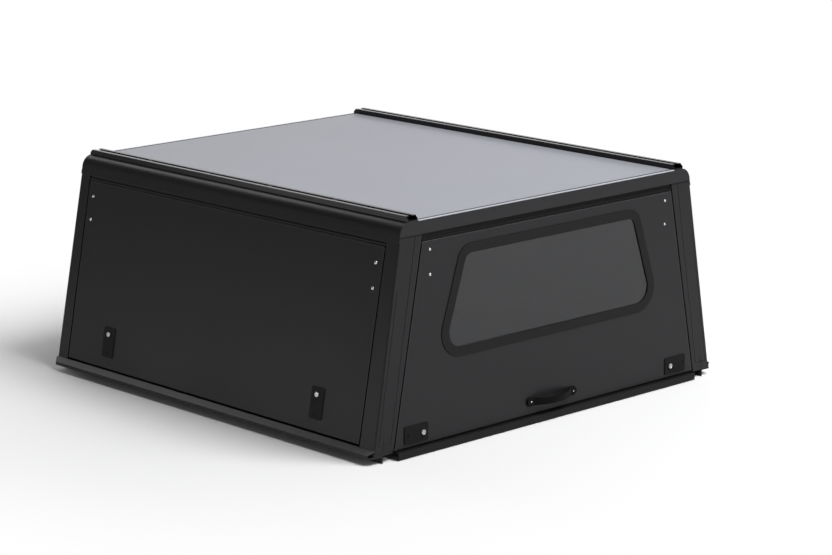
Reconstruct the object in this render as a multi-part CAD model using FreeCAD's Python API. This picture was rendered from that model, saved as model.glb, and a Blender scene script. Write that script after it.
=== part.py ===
import FreeCAD, Part
import math
import os
from FreeCAD import Placement, Rotation, Vector

# Pickup truck canopy: a black coated aluminium box that stands on the rails of a pickup tub.
# Two side doors and a rear door hang from hook hinges along the roof edge and swing up.
# Millimetres, +Z up. X runs across the vehicle and the rear door faces -Y.
# The origin is below the middle of the whole canopy, at its lowest point.

# Body, its faces carried down to the origin's level
body_length = 1626.5
side_half_width = 807.5
side_lean = 9.83                # degrees that the sides lean in from upright
rear_lean = 0.57
front_lean = 1.39
roof_z = 751.0                  # top of the roof sheet
sheet = 2.0                     # door sheets
roof_sheet = 2.5
wall = 3.0                      # wall of every extrusion

# Corner posts
rear_post_side_top = 54.0       # width of the posts seen from the side
rear_post_side_foot = 68.0
front_post_side_top = 51.0
front_post_side_foot = 55.5
post_end_top = 96.5             # width of the posts seen from the rear
post_end_foot = 84.0
post_bevel = 4.0
post_groove = 2.5               # grooves in the post's end face
post_groove_depth = 1.0
post_groove_inset_top = 28.0    # from the door's opening to the long groove beside it
post_groove_inset_foot = 15.0
corner_groove_inset = 17.0      # from the side face to the corner cover's groove
corner_groove_top_z = 535.0
post_groove_foot_rise = 32.0    # from the seat to the groove across the foot
landing = 16.0                  # flange that the door's seal closes on
door_depth = 36.0               # outer face to that flange

# Base rails
seat_z = 22.0                   # underside of the rails, where they rest on the tub
rail_reach = 15.5               # from the side face to the rail's outer edge
rail_edge = 11.0                # height of that edge
rail_end_cut = 15.0             # slanted cut across that edge's ends
ledge_rise = 25.0               # from the seat to the top of the sloping ledge below the side doors
upstand_rise = 58.0             # from the seat to the top of the flange that the side doors close on
hold_down_inset = 16.0          # from the inner flange to the hold-down holes
hold_down_spacing = 1200.0
hold_down_r = 4.5

# Roof edge
shoulder_radius = 44.0
shoulder_height = 63.0          # of the shoulder rails
shoulder_width = 74.0           # from the side face's line to the roof sheet's edge
shoulder_groove_drop = 31.0     # groove along the outside, below the roof
shoulder_groove = 3.0
shoulder_groove_depth = 1.0
roof_flange = 28.0              # shelf of the shoulder rail under the roof sheet
track_margin = 2.0              # between the roof sheet and the track
track_width = 43.0
track_height = 17.0
track_lip = 13.0
track_end_gap = 2.0
track_end_slope = 10.0
header_height = 45.5
header_depth = 60.0
post_seam_drop = 3.0            # seam between the header and the posts, below the header
roof_seam = 11.0                # groove across the roof, in from its ends
roof_seam_width = 5.0
roof_seam_depth = 1.0
roof_bow_count = 2
roof_bow_width = 50.0
roof_bow_height = 26.0

# Hook hinges
bead_r = 4.5
hinge_clearance = 0.5
hook_wall = 3.0
hook_from = -150.0              # degrees round the bead, from straight down towards the outside
neck = 3.0
bead_depth = 5.0                # bead's centre below the door's outer face
side_bead_drop = 10.0           # from the shoulder rail down to the bead
rear_bead_drop = 12.5           # from the header down to the bead

# Doors
gap = 6.0                       # round the doors
side_foot_gap = 8.0             # below the side doors
side_door_top = 11.0            # below the bead
rear_door_top = 13.0
rear_door_bottom_z = 31.5
door_return = 18.0              # folded edge of the outer sheet
door_thick = 30.0
panel_swage = 70.0              # from the inner panel's edge to its raised field
panel_swage_depth = 4.0
seal_edge = 1.0                 # from the door's edge to its seal
seal_width = 10.0
seal_clearance = 0.5

# Window in the rear door, and the same one in the front
window_top_drop = 104.0         # below the roof
window_bottom_z = 285.0
window_margin_top = 181.5       # from the post to the window's corners
window_margin_bottom = 131.5
window_r_top = 64.0
window_r_bottom = 85.0
rubber_width = 32.0
rubber_proud = 2.5
rubber_hold = 12.5              # rubber's overlap on the sheet
glass_hold = 10.0               # glass held in the rubber
glass = 4.0
glass_recess = 1.0              # glass below the sheet's outer face

# Locks
lock_long = 104.0
lock_short = 58.0
lock_radius = 6.0
lock_proud = 3.0
lock_body_margin = 10.0
lock_body_depth = 20.0
barrel_r = 8.0
barrel_proud = 4.0
barrel_from_end = 24.0
keeper_slot_long = 10.0         # along the plate's short side
keeper_slot_short = 6.0
keeper_from_end = 14.0
side_lock_z = 143.0             # middle of the side doors' locks
side_lock_from_edge = 210.0
rear_lock_z = 70.0
rear_lock_from_post = 91.0

# Pull handle
handle_length = 236.0
handle_reach = 38.0
handle_z = 74.0
handle_boss_r = 16.0
handle_boss = 7.0
handle_bar_height = 26.0
handle_bar = 11.0
handle_bevel = 3.0

# Lip that covers the gap above the tailgate
lip_reach = 16.0
lip_bottom_z = 2.0
lip_gap = 6.0                   # below the door's sheet
lip_inset = 2.0                 # in from the door's lower corners

# Worked out from the sizes above
rail_edge_z = seat_z + rail_edge
ledge_z = seat_z + ledge_rise
upstand_z = seat_z + upstand_rise
seat_top_z = seat_z + wall
shoulder_z = roof_z - shoulder_height
header_z = roof_z - header_height
post_seam_z = header_z - post_seam_drop
side_hinge_z = shoulder_z - side_bead_drop
rear_hinge_z = header_z - rear_bead_drop
side_door_bottom_z = ledge_z + side_foot_gap
window_top_z = roof_z - window_top_drop
hook_inner_r = bead_r + hinge_clearance
hook_outer_r = hook_inner_r + hook_wall
hook_to = math.degrees(math.asin(bead_depth / hook_outer_r))


def slope(degrees):
    return math.tan(math.radians(degrees))


def along(lean, rise):
    """Length up a leaning face for an upright rise."""
    return rise / math.cos(math.radians(lean))


def between(low, high, z):
    """Size at height z of something that runs evenly from the seat to the shoulder rails."""
    return low + (high - low) * (z - seat_top_z) / (shoulder_z - seat_top_z)


handle_from_base = handle_z * slope(rear_lean) - along(rear_lean, handle_reach)
y_front = (body_length - handle_from_base) / 2
y_rear = y_front - body_length
y_middle = (y_front + y_rear) / 2


def side_x(z):
    """Outer side face at height z."""
    return side_half_width - z * slope(side_lean)


def rear_y(z):
    """Outer face of the rear at height z."""
    return y_rear + z * slope(rear_lean)


def front_y(z):
    """Outer face of the front at height z."""
    return y_front - z * slope(front_lean)


def landing_x(z):
    """Outer face of the flange that a side door closes on."""
    return side_x(z) - along(side_lean, door_depth)


def end_opening(z):
    """Half width between the posts of one end at height z."""
    return side_x(z) - between(post_end_foot, post_end_top, z)


def rear_post_side(z):
    return between(rear_post_side_foot, rear_post_side_top, z)


def front_post_side(z):
    return between(front_post_side_foot, front_post_side_top, z)


rail_half_width = side_x(seat_z) + rail_reach
roof_edge_x = side_x(roof_z) - shoulder_width
track_inner_x = roof_edge_x + track_margin
roof_rear_y = rear_y(roof_z)
roof_front_y = front_y(roof_z)


def solid_of(shape):
    """The one solid in a shape."""
    shape = shape.removeSplitter()
    assert len(shape.Solids) == 1, "expected one solid, got %d" % len(shape.Solids)
    return shape.Solids[0]


def polygon_face(points):
    return Part.Face(Part.makePolygon(points + [points[0]]))


def bar_along_y(profile, y0, y1):
    """Profile of (x, z) points drawn out from y0 to y1."""
    face = polygon_face([Vector(x, y0, z) for x, z in profile])
    return face.extrude(Vector(0, y1 - y0, 0))


def block(low, high):
    size = Vector(*high) - Vector(*low)
    return Part.makeBox(size.x, size.y, size.z, Vector(*low))


def inset(points, distance):
    """Convex outline, given anticlockwise, moved in by a distance."""
    lines = []
    for (ax, ay), (bx, by) in zip(points, points[1:] + points[:1]):
        length = math.hypot(bx - ax, by - ay)
        nx, ny = -(by - ay) / length, (bx - ax) / length
        lines.append((nx, ny, nx * ax + ny * ay + distance))
    corners = []
    for (a, b, c), (d, e, f) in zip(lines[-1:] + lines[:-1], lines):
        det = a * e - b * d
        corners.append(((c * e - b * f) / det, (a * f - c * d) / det))
    return corners


def round_outline(points, radii, depth):
    """Closed wire at a depth on the panel, with a round corner at each point."""
    edges = []
    ends = []
    count = len(points)
    for i in range(count):
        corner = Vector(depth, *points[i])
        back = Vector(depth, *points[i - 1]) - corner
        ahead = Vector(depth, *points[(i + 1) % count]) - corner
        back.normalize()
        ahead.normalize()
        half = back.getAngle(ahead) / 2
        reach = radii[i] / math.tan(half)
        middle = back + ahead
        middle.normalize()
        centre = corner + middle * (radii[i] / math.sin(half))
        start = corner + back * reach
        end = corner + ahead * reach
        edges.append(Part.Arc(start, centre - middle * radii[i], end).toShape())
        ends.append((start, end))
    lines = []
    for i in range(count):
        lines.append(edges[i])
        lines.append(Part.makeLine(ends[i][1], ends[(i + 1) % count][0]))
    return Part.Wire(lines)


def slab(points, low, high, radii=None):
    """Flat plate on a door: outline across and up, low and high along the outward normal."""
    if radii:
        face = Part.Face(round_outline(points, radii, low))
    else:
        face = polygon_face([Vector(low, u, w) for u, w in points])
    return face.extrude(Vector(high - low, 0, 0))


def stand(shape, face, hinge_z, lean, turn):
    """From a door's own axes to its wall. X was outward from the bead, Y along and Z up the wall."""
    back = bead_depth * math.cos(math.radians(lean))
    down = bead_depth * math.sin(math.radians(lean))
    tilt = Placement(Vector(face - back, 0, hinge_z - down), Rotation(Vector(0, 1, 0), -lean))
    placed = shape.copy()
    placed.Placement = Placement(Vector(0, 0, 0), Rotation(Vector(0, 0, 1), turn)) * tilt * shape.Placement
    return placed


def on_side(shape):
    """Stand a piece on the right side."""
    return stand(shape, side_x(side_hinge_z), side_hinge_z, side_lean, 0)


def on_rear(shape):
    return stand(shape, -rear_y(rear_hinge_z), rear_hinge_z, rear_lean, -90)


def on_front(shape):
    return stand(shape, front_y(rear_hinge_z), rear_hinge_z, front_lean, 90)


def left_of(shape):
    """Mirror image on the left side."""
    return shape.mirror(Vector(0, 0, 0), Vector(1, 0, 0))


# Outlines of the doors, across and up from the hinge, anticlockwise seen from outside

def side_up(z):
    """Height z measured up a side door from its bead."""
    return along(side_lean, z - side_hinge_z)


def side_corners(z):
    """Rear and front edge of a side door at height z."""
    return rear_y(z) + rear_post_side(z) + gap, front_y(z) - front_post_side(z) - gap


side_door_top_z = side_hinge_z - side_door_top * math.cos(math.radians(side_lean))
side_foot = side_corners(side_door_bottom_z)
side_head = side_corners(side_door_top_z)
side_outline = [(side_foot[0], side_up(side_door_bottom_z)), (side_foot[1], side_up(side_door_bottom_z)),
                (side_head[1], -side_door_top), (side_head[0], -side_door_top)]


def end_outline(bottom_z, top_z, clearance, lean):
    """Trapezoid between the posts of one end."""
    low = end_opening(bottom_z) - clearance
    high = end_opening(top_z) - clearance
    bottom = along(lean, bottom_z - rear_hinge_z)
    top = along(lean, top_z - rear_hinge_z)
    return [(-low, bottom), (low, bottom), (high, top), (-high, top)]


rear_outline = end_outline(rear_door_bottom_z, rear_hinge_z - rear_door_top, gap, rear_lean)
window_half_top = end_opening(window_top_z) - window_margin_top
window_half_bottom = end_opening(window_bottom_z) - window_margin_bottom
window_outline = [(-window_half_bottom, window_bottom_z - rear_hinge_z),
                  (window_half_bottom, window_bottom_z - rear_hinge_z),
                  (window_half_top, window_top_z - rear_hinge_z),
                  (-window_half_top, window_top_z - rear_hinge_z)]
window_radii = [window_r_bottom, window_r_bottom, window_r_top, window_r_top]


def window_slab(distance, low, high):
    """Plate of the window's shape, moved in by a distance."""
    radii = [max(r - distance, r / 3) for r in window_radii]
    return slab(inset(window_outline, distance), low, high, radii)


# Hook hinge, drawn about the bead's centre

def hinge_bead(length_from, length_to, neck_top):
    """Round bead on its neck, drawn out along the roof edge."""
    length = length_to - length_from
    bead = Part.makeCylinder(bead_r, length, Vector(0, length_from, 0), Vector(0, 1, 0))
    stem = block((-neck / 2, length_from, 0), (neck / 2, length_to, neck_top))
    return bead.fuse(stem)


def hook_point(radius, degrees):
    turn = math.radians(degrees)
    return Vector(radius * math.sin(turn), 0, -radius * math.cos(turn))


def hinge_strip(length_from, length_to, top):
    """Hook that hangs on the bead, with the leaf that carries the door's outer sheet."""
    middle = (hook_from + hook_to) / 2
    outer = Part.Arc(hook_point(hook_outer_r, hook_from), hook_point(hook_outer_r, middle),
                     hook_point(hook_outer_r, hook_to)).toShape()
    inner = Part.Arc(hook_point(hook_inner_r, hook_from), hook_point(hook_inner_r, middle),
                     hook_point(hook_inner_r, hook_to)).toShape()
    start = Part.makeLine(hook_point(hook_inner_r, hook_from), hook_point(hook_outer_r, hook_from))
    end = Part.makeLine(hook_point(hook_outer_r, hook_to), hook_point(hook_inner_r, hook_to))
    ring = Part.Face(Part.Wire([start, outer, end, inner]))
    root = (hook_inner_r + hook_outer_r) / 2
    face_root = hook_point(root, hook_to / 2)
    lip = hook_point(hook_outer_r, hook_to)
    inner_face = bead_depth - sheet
    foot = top + door_return
    brow = [(inner_face - wall, -root), (inner_face - wall, -foot), (inner_face, -foot),
            (inner_face, -top), (bead_depth, -top), (lip.x, lip.z), (face_root.x, face_root.z)]
    leaf = polygon_face([Vector(n, 0, w) for n, w in brow])
    profile = ring.fuse(leaf).removeSplitter()
    strip = profile.extrude(Vector(0, length_to - length_from, 0))
    strip.translate(Vector(0, length_from, 0))
    return solid_of(strip)


# Doors

def lock_frame(across):
    """Corners of a lock plate about its middle."""
    half_u = (lock_long if across else lock_short) / 2
    half_w = (lock_short if across else lock_long) / 2
    return half_u, half_w


def slot_halves(across):
    """Half the keeper slot's sizes, along the door's edge and up it."""
    half_u = (keeper_slot_short if across else keeper_slot_long) / 2
    half_w = (keeper_slot_long if across else keeper_slot_short) / 2
    return half_u, half_w


def lock_body(u, w, across):
    """Box behind the lock plate."""
    half_u, half_w = lock_frame(across)
    half_u -= lock_body_margin
    half_w -= lock_body_margin
    return block((bead_depth - lock_body_depth, u - half_u, w - half_w), (bead_depth, u + half_u, w + half_w))


def lock(u, w, across, barrel_side):
    """Lock plate with its key barrel near one end and a sunk slot near the other."""
    half_u, half_w = lock_frame(across)
    outline = [(u - half_u, w - half_w), (u + half_u, w - half_w), (u + half_u, w + half_w), (u - half_u, w + half_w)]
    plate = slab(outline, bead_depth, bead_depth + lock_proud, [lock_radius] * 4)
    reach = barrel_side * (lock_long / 2 - barrel_from_end)
    barrel_at = Vector(bead_depth, u + reach, w) if across else Vector(bead_depth, u, w + reach)
    barrel = Part.makeCylinder(barrel_r, lock_proud + barrel_proud, barrel_at, Vector(1, 0, 0))
    reach = -barrel_side * (lock_long / 2 - keeper_from_end)
    slot_u, slot_w = (u + reach, w) if across else (u, w + reach)
    half_u, half_w = slot_halves(across)
    low = (bead_depth + lock_proud / 2, slot_u - half_u, slot_w - half_w)
    slot = block(low, (bead_depth + lock_proud, slot_u + half_u, slot_w + half_w))
    return solid_of(plate.fuse([barrel, lock_body(u, w, across)]).cut(slot))


def door_skin(outline, holes):
    """Outer sheet folded back round its edge, open where the hinge strip and the locks pass."""
    tray = slab(outline, bead_depth - door_return, bead_depth)
    hollow = slab(inset(outline, sheet), bead_depth - door_return, bead_depth - sheet)
    return solid_of(tray.cut([hollow] + holes))


def door_panel(outline, holes, strip):
    """Inner sheet, pressed to a raised field, that closes the door from inside."""
    inner = inset(outline, sheet)
    back = bead_depth - door_thick
    tray = slab(inner, back, bead_depth - sheet)
    hollow = slab(inset(inner, sheet), back + sheet, bead_depth - sheet)
    field = inset(inner, panel_swage)
    sunk = slab(field, back - sheet, back + panel_swage_depth)
    cover = slab(inset(field, -sheet), back, back + panel_swage_depth + sheet)
    return solid_of(tray.cut(hollow).fuse(cover).cut([sunk, strip] + holes))


def door_seal(outline):
    """Rubber strip round the inside of a door, against the flange."""
    back = bead_depth - door_thick
    edge = inset(outline, seal_edge)
    low = bead_depth - door_depth + seal_clearance
    ring = slab(edge, low, back)
    return solid_of(ring.cut(slab(inset(edge, seal_width), low, back)))


def side_door():
    """All the pieces of the right side door."""
    strip = hinge_strip(side_head[0], side_head[1], side_door_top)
    edges = side_corners(side_lock_z)
    places = [edges[1] - side_lock_from_edge, edges[0] + side_lock_from_edge]
    side_lock_w = side_up(side_lock_z)
    bodies = [lock_body(u, side_lock_w, False) for u in places]
    return {
        "hinge_strip": strip,
        "skin": door_skin(side_outline, bodies + [strip]),
        "inner_panel": door_panel(side_outline, bodies, strip),
        "seal": door_seal(side_outline),
        "lock_front": lock(places[0], side_lock_w, False, 1),
        "lock_rear": lock(places[1], side_lock_w, False, 1),
    }


def window_rubber():
    """Rubber surround that holds the glass in the sheet."""
    cover = window_slab(0, bead_depth, bead_depth + rubber_proud)
    body = window_slab(rubber_hold, bead_depth - door_return, bead_depth)
    sight = window_slab(rubber_width, bead_depth - door_return, bead_depth + rubber_proud)
    return solid_of(cover.fuse(body).cut([sight, window_glass()]))


def window_glass():
    high = bead_depth - glass_recess
    return solid_of(window_slab(rubber_width - glass_hold, high - glass, high))


def pull_handle():
    """Bow handle on two round bosses at the foot of the rear door."""
    w = handle_z - rear_hinge_z
    end = handle_length / 2 - handle_boss_r
    bosses = []
    for u in (-end, end):
        bosses.append(Part.makeCylinder(handle_boss_r, handle_boss, Vector(bead_depth, u, w), Vector(1, 0, 0)))
    rise = handle_reach - handle_bar / 2
    radius = (end ** 2 + rise ** 2) / (2 * rise)
    centre = Vector(bead_depth + rise - radius, 0, w)
    turn = math.degrees(math.asin(end / radius))
    half = handle_bar / 2
    tall = handle_bar_height / 2
    corner = [(half, tall - handle_bevel), (half - handle_bevel, tall)]
    quarter = corner + [(-n, v) for n, v in reversed(corner)]
    section = quarter + [(-n, -v) for n, v in quarter]
    bar = polygon_face([centre + Vector(radius + n, 0, v) for n, v in section])
    bar.rotate(centre, Vector(0, 0, 1), -turn)
    bar = bar.revolve(centre, Vector(0, 0, 1), 2 * turn)
    behind = block((bead_depth - handle_length, -handle_length, w - handle_length),
                   (bead_depth, handle_length, w + handle_length))
    return solid_of(bar.fuse(bosses).cut(behind))


def tailgate_lip():
    """Folded strip below the rear door that covers the top of the tailgate."""
    foot = rear_outline[0][1]
    top = foot - lip_gap
    bottom = lip_bottom_z - rear_hinge_z
    face = bead_depth + lip_reach
    back = bead_depth - door_thick
    seat = foot + sheet
    fold = bead_depth - door_return - sheet
    profile = [(face - wall, bottom), (face, bottom), (face, top), (back + wall, top), (back + wall, seat - wall),
               (fold, seat - wall), (fold, seat), (back, seat), (back, top - wall), (face - wall, top - wall)]
    half = end_opening(rear_door_bottom_z) - gap - lip_inset
    strip = polygon_face([Vector(n, -half, w) for n, w in profile])
    return solid_of(strip.extrude(Vector(0, 2 * half, 0)))


def rear_door():
    """All the pieces of the rear door."""
    half = rear_outline[2][0]
    strip = hinge_strip(-half, half, rear_door_top)
    lock_w = rear_lock_z - rear_hinge_z
    lock_x = end_opening(rear_lock_z) - rear_lock_from_post
    bodies = [lock_body(u, lock_w, True) for u in (-lock_x, lock_x)]
    opening = window_slab(rubber_hold, bead_depth - door_thick - sheet, bead_depth)
    return {
        "hinge_strip": strip,
        "skin": door_skin(rear_outline, bodies + [opening, strip]),
        "inner_panel": rear_inner_panel(bodies + [opening], strip),
        "seal": door_seal(rear_outline),
        "window_rubber": window_rubber(),
        "window_glass": window_glass(),
        "pull_handle": pull_handle(),
        "lock_left": lock(-lock_x, lock_w, True, 1),
        "lock_right": lock(lock_x, lock_w, True, -1),
        "tailgate_lip": tailgate_lip(),
    }


def rear_inner_panel(holes, strip):
    """Flat inner sheet of the rear door."""
    inner = inset(rear_outline, sheet)
    back = bead_depth - door_thick
    tray = slab(inner, back, bead_depth - sheet)
    hollow = slab(inset(inner, sheet), back + sheet, bead_depth - sheet)
    return solid_of(tray.cut([hollow, strip] + holes))


# Fixed frame

def shoulder_reach():
    """From the corner of side and roof to where the round shoulder starts."""
    return shoulder_radius * math.tan(math.radians(90 - side_lean) / 2)


def shoulder_rail():
    """Hollow rail along the roof edge, rounded outside, with the side door's bead below it."""
    lean = math.radians(side_lean)
    reach = shoulder_reach()
    corner = Vector(side_x(roof_z), 0, roof_z)
    start = corner - Vector(reach, 0, 0)
    end = corner + Vector(math.sin(lean), 0, -math.cos(lean)) * reach
    centre = start - Vector(0, 0, shoulder_radius)
    half_turn = (math.pi / 2 - lean) / 2
    out = Vector(math.sin(half_turn), 0, math.cos(half_turn))

    def arc(radius):
        first = centre + Vector(0, 0, radius)
        last = centre + (end - centre).normalize() * radius
        return Part.Arc(first, centre + out * radius, last).toShape()

    shelf = roof_z - roof_sheet
    points = [Vector(side_x(shoulder_z), 0, shoulder_z), Vector(roof_edge_x, 0, shoulder_z),
              Vector(roof_edge_x, 0, shelf - wall), Vector(roof_edge_x - roof_flange, 0, shelf - wall),
              Vector(roof_edge_x - roof_flange, 0, shelf), Vector(roof_edge_x, 0, shelf),
              Vector(roof_edge_x, 0, roof_z)]
    outside = ring_face(arc(shoulder_radius), points)
    floor_z = shoulder_z + wall
    inner_side = Vector(side_x(floor_z) - along(side_lean, wall), 0, floor_z)
    inside = ring_face(arc(shoulder_radius - wall),
                       [inner_side, Vector(roof_edge_x + wall, 0, floor_z),
                        Vector(roof_edge_x + wall, 0, roof_z - wall)])
    length = roof_front_y - roof_rear_y - 2 * wall
    rail = outside.cut(inside).extrude(Vector(0, length, 0))
    rail.translate(Vector(0, roof_rear_y + wall, 0))
    groove_z = roof_z - shoulder_groove_drop
    groove_x = side_x(groove_z)
    groove = block((groove_x - shoulder_groove_depth, roof_rear_y, groove_z),
                   (groove_x + wall, roof_front_y, groove_z + shoulder_groove))
    foot = -side_door_top - landing
    ends = [side_corners(shoulder_z), side_corners(side_hinge_z + foot)]
    bead_from = max(low for low, high in ends) - gap
    bead_to = min(high for low, high in ends) + gap
    neck_top = side_up(shoulder_z + wall / 2)
    bead = on_side(hinge_bead(bead_from, bead_to, neck_top))
    flange_top = neck_top + door_depth * slope(side_lean)
    flange = block((bead_depth - door_depth - wall, bead_from + landing, foot),
                   (bead_depth - door_depth, bead_to - landing, flange_top))
    return solid_of(rail.cut(groove).fuse([bead, on_side(flange)]))


def ring_face(arc, points):
    """Face bounded by an arc and the points that lead from its end back to its start."""
    corners = [arc.valueAt(arc.LastParameter)] + points + [arc.valueAt(arc.FirstParameter)]
    lines = [Part.makeLine(a, b) for a, b in zip(corners, corners[1:])]
    return Part.Face(Part.Wire([arc] + lines))


def header_face(face_y, inward):
    """Face plate across one end, with the round shoulders of the rails behind it."""
    corners = [(-side_x(post_seam_z), post_seam_z), (side_x(post_seam_z), post_seam_z),
               (side_x(roof_z), roof_z), (-side_x(roof_z), roof_z)]
    small = shoulder_reach() / shoulder_radius
    outline = round_outline(corners, [small, small, shoulder_radius, shoulder_radius], 0)
    outline.rotate(Vector(0, 0, 0), Vector(0, 0, 1), 90)
    outline.translate(Vector(0, face_y, 0))
    plate = Part.Face(outline).extrude(Vector(0, inward * wall, 0))
    step = across_end((end_opening(post_seam_z), post_seam_z), header_z, face_y, inward * wall)
    bed = across_end((roof_edge_x, roof_z - roof_sheet), roof_z, face_y, inward * wall)
    return plate.cut([step, bed])


def across_end(corner, top, y, depth):
    """Block across one end, as wide each side of the middle as its corner (x, z)."""
    low_y, high_y = sorted((y, y + depth))
    return block((-corner[0], low_y, corner[1]), (corner[0], high_y, top))


def header(face_y, inward):
    """Hollow cross rail at one end of the roof."""
    high = roof_z - roof_sheet
    outer = across_end((roof_edge_x, header_z), high, face_y, inward * header_depth)
    inner_y = face_y + inward * wall
    hollow_depth = inward * (header_depth - 2 * wall)
    hollow = across_end((roof_edge_x, header_z + wall), high - wall, inner_y, hollow_depth)
    shelf = across_end((roof_edge_x, high - wall), high, inner_y, inward * header_depth)
    keep = across_end((roof_edge_x - roof_flange, high - wall), high, inner_y, inward * header_depth)
    return outer.cut([hollow, shelf.cut(keep)]).fuse(header_face(face_y, inward))


def rear_hinge_bead():
    """The rear door's bead and the flange that its top closes on."""
    half = end_opening(rear_hinge_z) - gap / 2
    neck_top = along(rear_lean, header_z + wall / 2 - rear_hinge_z)
    bead = hinge_bead(-half, half, neck_top)
    half = end_opening(rear_hinge_z) - landing - gap
    flange = block((bead_depth - door_depth - wall, -half, -rear_door_top - landing),
                   (bead_depth - door_depth, half, neck_top))
    return bead.fuse(flange)


def roof_skin():
    """Flat roof sheet with a groove across it near each end."""
    low = roof_z - roof_sheet
    skin = block((-roof_edge_x, roof_rear_y, low), (roof_edge_x, roof_front_y, roof_z))
    grooves = []
    for y in (roof_rear_y + roof_seam, roof_front_y - roof_seam):
        start = (-roof_edge_x, y - roof_seam_width / 2, roof_z - roof_seam_depth)
        grooves.append(block(start, (roof_edge_x, y + roof_seam_width / 2, roof_z)))
    return solid_of(skin.cut(grooves))


def roof_bows():
    """Channels that stiffen the roof sheet from below."""
    top = roof_z - roof_sheet
    half = roof_edge_x - roof_flange
    bows = []
    for i in range(roof_bow_count):
        y = roof_rear_y + (roof_front_y - roof_rear_y) * (i + 1) / (roof_bow_count + 1)
        outer = block((-half, y - roof_bow_width / 2, top - roof_bow_height), (half, y + roof_bow_width / 2, top))
        hollow = block((-half, y - roof_bow_width / 2 + wall, top - roof_bow_height + wall),
                       (half, y + roof_bow_width / 2 - wall, top))
        bows.append(solid_of(outer.cut(hollow)))
    return Part.makeCompound(bows)


def roof_track():
    """Open slotted track along the roof edge, sloped off at its ends."""
    low, high = roof_z, roof_z + track_height
    inner, outer = track_inner_x, track_inner_x + track_width
    profile = [(inner, low), (outer, low), (outer, high), (outer - track_lip, high),
               (outer - track_lip, high - wall), (outer - wall, high - wall), (outer - wall, low + wall),
               (inner + wall, low + wall), (inner + wall, high - wall), (inner + track_lip, high - wall),
               (inner + track_lip, high), (inner, high)]
    start = roof_rear_y + track_end_gap
    end = roof_front_y - track_end_gap
    track = bar_along_y(profile, start, end)
    slopes = []
    for y, step in ((start, track_end_slope), (end, -track_end_slope)):
        points = [Vector(inner, y, high), Vector(inner, y + step, high), Vector(inner, y, high - track_end_slope)]
        slopes.append(polygon_face(points).extrude(Vector(track_width, 0, 0)))
    return solid_of(track.cut(slopes))


def rail_end(y, inward):
    """Cutter for the slanted end of the rail's outer edge."""
    corners = [(rail_half_width, y), (rail_half_width, y + inward * rail_end_cut), (rail_half_width - rail_end_cut, y)]
    return polygon_face([Vector(x, end_y, seat_z) for x, end_y in corners]).extrude(Vector(0, 0, ledge_rise))


def base_rail():
    """Rail on the tub: seat, flange that drops inside the tub, outer ledge and the door's stop."""
    drop_x = landing_x(seat_top_z)
    ledge_wall = wall / math.cos(math.atan2(ledge_z - rail_edge_z, rail_half_width - side_x(ledge_z)))
    profile = [(drop_x - wall, 0), (drop_x, 0), (drop_x, seat_z), (rail_half_width, seat_z),
               (rail_half_width, rail_edge_z), (side_x(ledge_z), ledge_z), (side_x(ledge_z) - ledge_wall, ledge_z),
               (rail_half_width - wall, rail_edge_z - wall / 2), (rail_half_width - wall, seat_top_z),
               (drop_x, seat_top_z), (landing_x(upstand_z), upstand_z), (landing_x(upstand_z) - wall, upstand_z),
               (drop_x - wall, seat_top_z)]
    rail = bar_along_y(profile, y_rear, y_front)
    holes = []
    for step in (-1, 1):
        at = Vector(drop_x + hold_down_inset, y_middle + step * hold_down_spacing / 2, seat_z)
        holes.append(Part.makeCylinder(hold_down_r, wall, at, Vector(0, 0, 1)))
    return solid_of(rail.cut(holes + [rail_end(y_rear, 1), rail_end(y_front, -1)]))


def front_base_rail():
    """The same seat across the front, between the side rails."""
    drop_y = front_y(seat_top_z) - along(front_lean, door_depth)
    stop_y = front_y(upstand_z) - along(front_lean, door_depth)
    profile = [(drop_y - wall, 0), (drop_y, 0), (drop_y, seat_z), (y_front, seat_z), (y_front, seat_top_z),
               (drop_y, seat_top_z), (stop_y, upstand_z), (stop_y - wall, upstand_z), (drop_y - wall, seat_top_z)]
    half = rail_half_width
    rail = polygon_face([Vector(-half, y, z) for y, z in profile]).extrude(Vector(2 * half, 0, 0))
    low = landing_x(seat_top_z) - wall
    high = landing_x(upstand_z) - wall
    room = [(-low, 0), (low, 0), (low, seat_top_z), (high, upstand_z), (-high, upstand_z), (-low, seat_top_z)]
    return solid_of(rail.common(bar_along_y(room, stop_y - wall, y_front)))


def post_section(z, side_face, inward, end_y, end_lean):
    """Section of a right corner post at height z: two faces, a bevel and the doors' flanges."""
    depth = along(side_lean, door_depth)
    bend = post_bevel + wall * slope(22.5)
    face = side_x(z) - end_opening(z)
    side = side_face(z)
    ends = along(end_lean, door_depth)
    points = [(0, side), (0, post_bevel), (post_bevel, 0), (face, 0), (face, ends),
              (face + landing, ends), (face + landing, ends + wall), (face - wall, ends + wall),
              (face - wall, wall), (bend, wall), (wall, bend), (wall, side - wall),
              (depth + wall, side - wall), (depth + wall, side + landing),
              (depth, side + landing), (depth, side)]
    corners = [Vector(side_x(z) - p, end_y(z) + inward * q, z) for p, q in points]
    return Part.makePolygon(corners + [corners[0]])


def leaning_block(low, high, inner, outer, end_y, out, into):
    """Block at an end face between two heights, out of and into it, with its sides at inner and outer."""
    wires = []
    for z in (low, high):
        y = end_y(z)
        corners = [Vector(inner(z), y + out, z), Vector(outer(z), y + out, z),
                   Vector(outer(z), y + into, z), Vector(inner(z), y + into, z)]
        wires.append(Part.makePolygon(corners + [corners[0]]))
    return Part.makeLoft(wires, True, True)


def door_groove_x(z):
    """Inner edge of the long groove beside the door."""
    return end_opening(z) + between(post_groove_inset_foot, post_groove_inset_top, z)


def corner_groove_x(z):
    """Inner edge of the groove along the corner cover."""
    return side_x(z) - corner_groove_inset


def beyond_opening(z):
    return end_opening(z) - post_groove


def beyond_side(z):
    return side_x(z) + post_groove


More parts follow.
